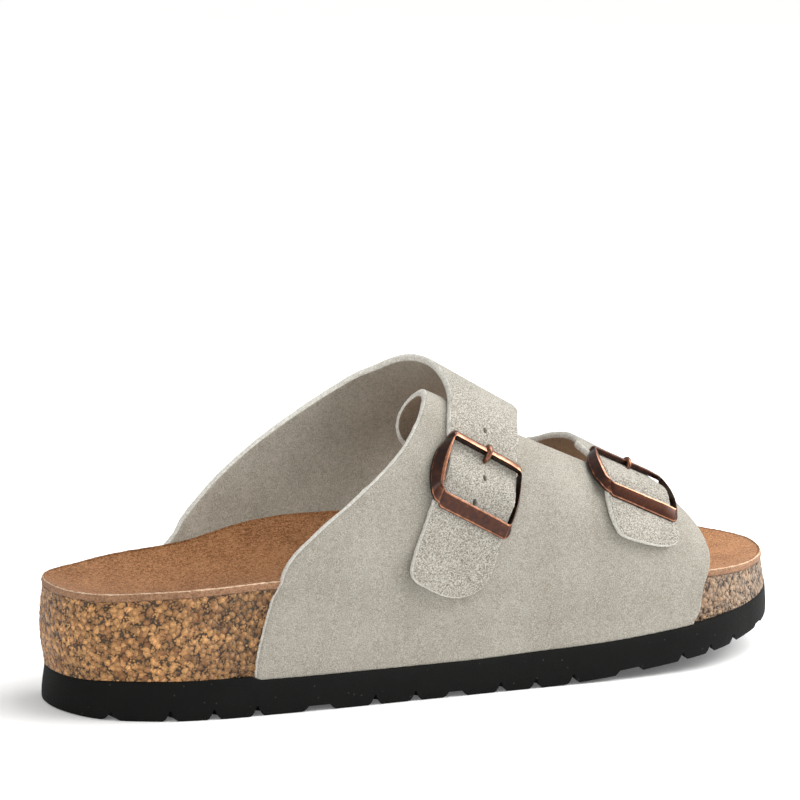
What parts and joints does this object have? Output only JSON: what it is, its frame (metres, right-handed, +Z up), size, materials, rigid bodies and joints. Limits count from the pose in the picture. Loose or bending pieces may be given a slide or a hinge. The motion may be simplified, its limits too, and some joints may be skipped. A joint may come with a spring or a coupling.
{
  "type": "two-strap slide sandal",
  "caption": "Open slide sandal for the right foot: contoured cork footbed on a black grooved sole, with suede straps over the instep fastened by copper buckles on the outer side.",
  "frame": {"origin": "middle of the shoe's box on the floor", "axes": "+X from heel to toe, +Y towards the inner side of the foot, +Z up"},
  "size_m": [0.261, 0.0962, 0.1006],
  "materials": {
    "black_eva": "matt moulded foam rubber",
    "cork": "pressed granules, sealed, satin",
    "tan_suede": "matt nap",
    "grey_suede": "matt nap with pale raw edges",
    "antique_copper": "darkened copper plating, worn bright at the edges"
  },
  "bodies": {
    "root": {"outsole": "black_eva", "footbed": "cork", "footbed_lining": "tan_suede", "upper": "grey_suede", "buckle_rear": "antique_copper", "buckle_front": "antique_copper", "prong_rear": "antique_copper", "prong_front": "antique_copper"}
  },
  "joints": []
}
